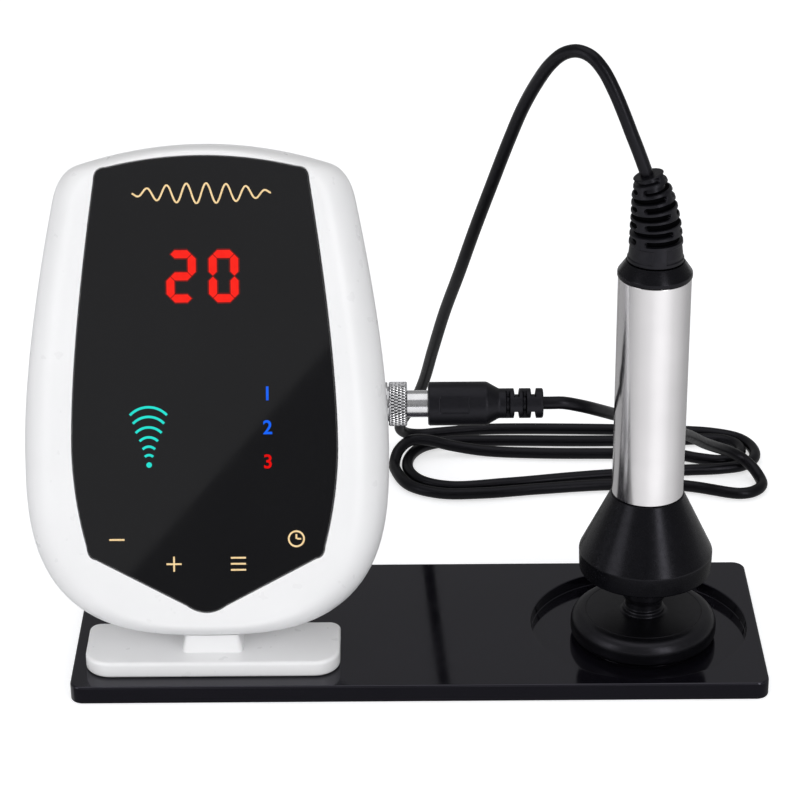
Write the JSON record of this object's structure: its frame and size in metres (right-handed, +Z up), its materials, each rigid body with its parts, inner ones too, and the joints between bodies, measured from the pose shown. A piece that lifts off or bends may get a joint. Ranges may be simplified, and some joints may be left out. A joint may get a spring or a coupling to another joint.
{
  "type": "monopolar radio frequency machine",
  "caption": "Tabletop skin-care radio frequency console on a foot, with a corded handset that ends in a round disc electrode, both standing on a flat display tray.",
  "frame": {"origin": "middle of the tray's underside, on the surface that it stands on", "axes": "+X along the tray from the console to the handset, +Y away from the viewer, +Z up"},
  "size_m": [0.2741, 0.2091, 0.2202],
  "materials": {
    "white_plastic": "gloss white moulding",
    "tray_plastic": "mirror-gloss black",
    "panel_plastic": "gloss black window, printed on the back",
    "black_plastic": "satin black moulding",
    "black_rubber": "smooth black",
    "pad_rubber": "matte grey",
    "tube_steel": "polished",
    "nickel_plate": "bright nickel plate",
    "contact_brass": "bare",
    "sink_aluminium": "as extruded",
    "board_laminate": "solder mask",
    "ferrite_core": "matte",
    "display_plastic": "red diffuser",
    "guide_plastic": "clear"
  },
  "bodies": {
    "tray": {"tray": "tray_plastic", "tray_pad_1": "pad_rubber", "tray_pad_2": "pad_rubber", "tray_pad_3": "pad_rubber", "tray_pad_4": "pad_rubber", "cord_plug_run": "black_rubber", "cord_loops": "black_rubber", "cord_arch": "black_rubber"},
    "console": {"stand_foot": "white_plastic", "foot_pad_1": "pad_rubber", "foot_pad_2": "pad_rubber", "foot_pad_3": "pad_rubber", "foot_pad_4": "pad_rubber", "front_shell": "white_plastic", "rear_shell": "white_plastic", "case_screw_1": "nickel_plate", "case_screw_2": "nickel_plate", "case_screw_3": "nickel_plate", "case_screw_4": "nickel_plate", "stand_screw": "nickel_plate", "touch_panel": "panel_plastic", "led_display": "display_plastic", "light_guide": "guide_plastic", "touch_spring_1": "nickel_plate", "touch_spring_2": "nickel_plate", "touch_spring_3": "nickel_plate", "touch_spring_4": "nickel_plate", "control_board": "board_laminate", "board_screw_1": "nickel_plate", "board_screw_2": "nickel_plate", "buzzer": "black_plastic", "rf_transformer": "ferrite_core", "filter_capacitor": "black_plastic", "heat_sink": "sink_aluminium", "power_inlet": "black_plastic", "switch_frame": "black_plastic", "handset_socket": "nickel_plate", "socket_nut": "nickel_plate", "socket_insert": "black_plastic"},
    "rocker": {"power_rocker": "black_plastic"},
    "plug": {"plug_shell": "nickel_plate", "plug_insert": "black_plastic", "plug_pin_1": "contact_brass", "plug_pin_2": "contact_brass", "plug_pin_3": "contact_brass", "plug_overmould": "black_rubber"},
    "ring": {"coupling_ring": "nickel_plate"},
    "handle": {"handle_tube": "tube_steel", "handle_collar": "black_plastic", "strain_relief": "black_rubber", "head_cone": "black_plastic", "head_socket": "contact_brass", "contact_spring": "nickel_plate", "contact_plate": "contact_brass", "inner_holder": "white_plastic", "inner_lead": "black_rubber"},
    "head": {"electrode_face": "tube_steel", "electrode_cap": "black_plastic", "head_stud": "nickel_plate", "head_seal": "black_rubber"}
  },
  "joints": [
    {"name": "console_lift", "type": "slide", "parent": "tray", "child": "console", "axis": [0, 0, 1], "range_m": [0, 0.03], "deforming": ["cord_plug_run"]},
    {"name": "rocker_tilt", "type": "hinge", "parent": "console", "child": "rocker", "pos_m": [-0.0947, 0.00888, 0.05163], "axis": [1, 0, 0], "range_deg": [0, 20]},
    {"name": "plug_slide", "type": "slide", "parent": "console", "child": "plug", "axis": [1, 0, 0], "range_m": [0, 0.012], "deforming": ["cord_plug_run"]},
    {"name": "ring_turn", "type": "hinge", "parent": "plug", "child": "ring", "pos_m": [-0.006, 0.00723, 0.0898], "axis": [1, 0, 0], "continuous": true},
    {"name": "handset_lift", "type": "slide", "parent": "tray", "child": "handle", "axis": [0, 0, 1], "range_m": [0, 0.04], "deforming": ["cord_arch"]},
    {"name": "head_turn", "type": "hinge", "parent": "handle", "child": "head", "pos_m": [0.08, -0.0013, 0.03], "axis": [0, 0, 1], "continuous": true}
  ]
}
